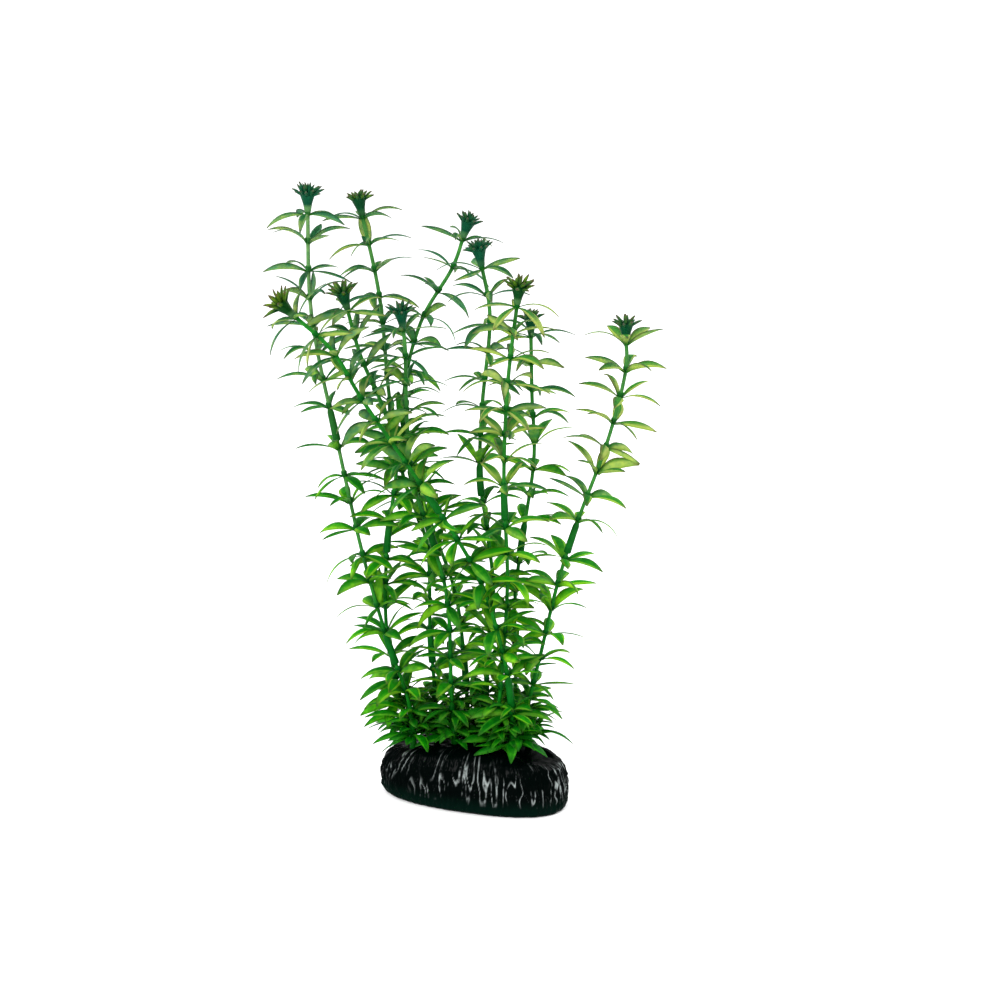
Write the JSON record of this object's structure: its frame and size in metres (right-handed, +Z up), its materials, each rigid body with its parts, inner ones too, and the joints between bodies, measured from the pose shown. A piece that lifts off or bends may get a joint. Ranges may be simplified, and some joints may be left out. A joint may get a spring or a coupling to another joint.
{
  "type": "artificial lagarosiphon aquarium plant on a base",
  "caption": "Artificial oxygen-weed plant for an aquarium: upright leafy plastic shoots, each ending in a fringed crown, standing in a heavy dark glazed base.",
  "frame": {"origin": "middle of the base's flat underside", "axes": "+Z up along the shoots; the base is long in X; the side towards -Y, turned 20 degrees towards +X, is the front"},
  "size_m": [0.1465, 0.116, 0.2507],
  "materials": {
    "base_glaze": "glossy black glaze with dark green at the foot, run down in upright ridges",
    "leaf_plastic": "thin translucent green plastic, yellow-green where light comes through, olive at the edges",
    "crown_plastic": "dark blue-green plastic with lighter finger tips"
  },
  "bodies": {
    "root": {"base": "base_glaze", "shoot_a_crown": "crown_plastic", "shoot_a_lower": "leaf_plastic", "shoot_a_middle": "leaf_plastic", "shoot_a_upper": "leaf_plastic", "shoot_b_crown": "crown_plastic", "shoot_b_lower": "leaf_plastic", "shoot_b_middle": "leaf_plastic", "shoot_b_upper": "leaf_plastic", "shoot_c_crown": "crown_plastic", "shoot_c_lower": "leaf_plastic", "shoot_c_upper": "leaf_plastic", "shoot_d_crown": "crown_plastic", "shoot_d_lower": "leaf_plastic", "shoot_d_middle": "leaf_plastic", "shoot_d_upper": "leaf_plastic", "shoot_e_crown": "crown_plastic", "shoot_e_lower": "leaf_plastic", "shoot_e_upper": "leaf_plastic", "shoot_f_crown": "crown_plastic", "shoot_f_lower": "leaf_plastic", "shoot_f_middle": "leaf_plastic", "shoot_f_upper": "leaf_plastic", "shoot_g_crown": "crown_plastic", "shoot_g_lower": "leaf_plastic", "shoot_g_middle": "leaf_plastic", "shoot_g_upper": "leaf_plastic", "shoot_h_crown": "crown_plastic", "shoot_h_lower": "leaf_plastic", "shoot_h_upper": "leaf_plastic", "shoot_i_crown": "crown_plastic", "shoot_i_lower": "leaf_plastic", "shoot_i_upper": "leaf_plastic", "shoot_j_crown": "crown_plastic", "shoot_j_lower": "leaf_plastic", "shoot_j_upper": "leaf_plastic"}
  },
  "joints": []
}
